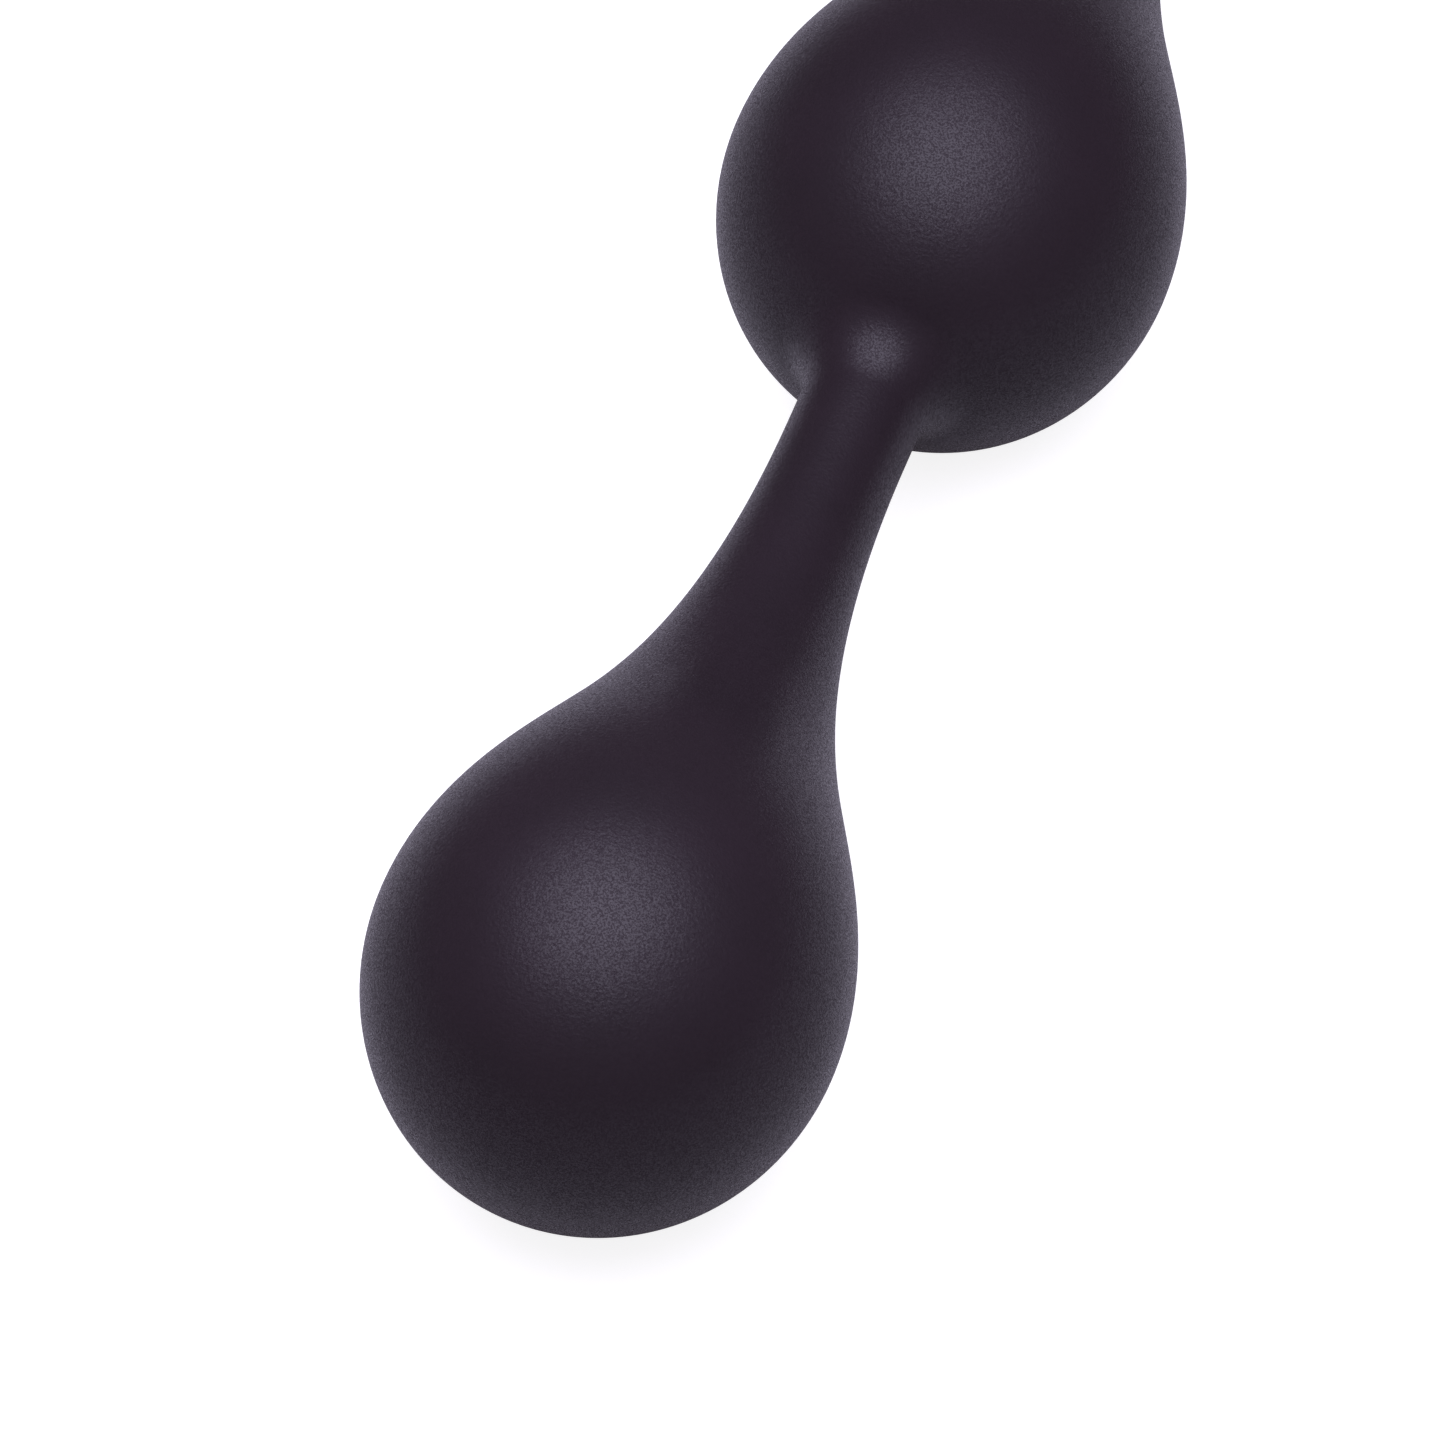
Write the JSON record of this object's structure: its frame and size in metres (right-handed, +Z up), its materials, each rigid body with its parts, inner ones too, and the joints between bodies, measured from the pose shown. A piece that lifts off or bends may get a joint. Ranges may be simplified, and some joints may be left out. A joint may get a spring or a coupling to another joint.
{
  "type": "weighted drop massage balls",
  "caption": "Two weighted soft silicone drop balls joined by a flexible neck, with a flexible tail and a flat finger ring.",
  "frame": {"origin": "bottom centre of the object's box, on the surface that it lies on", "axes": "+Y along the chain of balls, from the free end towards the finger ring; +Z up from the surface"},
  "size_m": [0.035, 0.1896, 0.0347],
  "materials": {
    "silicone": "matte, very fine satin grain",
    "capsule_plastic": "fine spark-eroded satin",
    "steel": "ground and polished ball",
    "brass": "crimped, satin",
    "braided_nylon": "tight round braid"
  },
  "bodies": {
    "upper_ball": {"upper_skin": "silicone", "upper_capsule_base": "capsule_plastic", "upper_capsule_lid": "capsule_plastic", "upper_neck_cord_stop": "brass", "upper_tail_cord_stop": "brass"},
    "upper_ball_weight": {"upper_weight": "steel"},
    "neck": {"neck_skin": "silicone", "neck_cord": "braided_nylon"},
    "lower_ball": {"lower_skin": "silicone", "lower_capsule_base": "capsule_plastic", "lower_capsule_lid": "capsule_plastic", "lower_cord_stop": "brass"},
    "lower_ball_weight": {"lower_weight": "steel"},
    "tail": {"tail_skin": "silicone", "tail_cord": "braided_nylon"},
    "ring": {"finger_ring": "silicone", "ring_cord_stop": "brass"}
  },
  "joints": [
    {"name": "neck_nod", "type": "hinge", "parent": "upper_ball", "child": "neck", "pos_m": [0, -0.0253, 0.01724], "axis": [1, 0, 0], "range_deg": [-45, 45], "stiffness_Nm_per_rad": 0.03, "deforming": ["neck_skin", "neck_cord"]},
    {"name": "neck_swing", "type": "hinge", "parent": "neck", "child": "lower_ball", "pos_m": [0, -0.0375, 0.01724], "axis": [0, 0, 1], "range_deg": [-45, 45], "stiffness_Nm_per_rad": 0.03, "deforming": ["neck_skin", "neck_cord"]},
    {"name": "lower_weight_roll", "type": "hinge", "parent": "lower_ball", "child": "lower_ball_weight", "pos_m": [0, -0.076, 0.01724], "axis": [1, 0, 0], "continuous": true},
    {"name": "upper_weight_roll", "type": "hinge", "parent": "upper_ball", "child": "upper_ball_weight", "pos_m": [0, 0.0032, 0.01724], "axis": [1, 0, 0], "continuous": true},
    {"name": "tail_nod", "type": "hinge", "parent": "upper_ball", "child": "tail", "pos_m": [0, 0.0442, 0.01572], "axis": [1, 0, 0], "range_deg": [-45, 60], "stiffness_Nm_per_rad": 0.006, "deforming": ["tail_skin", "tail_cord"]},
    {"name": "tail_swing", "type": "hinge", "parent": "tail", "child": "ring", "pos_m": [0, 0.0592, 0.00271], "axis": [0, 0, 1], "range_deg": [-60, 60], "stiffness_Nm_per_rad": 0.003, "deforming": ["tail_skin", "tail_cord"]}
  ]
}
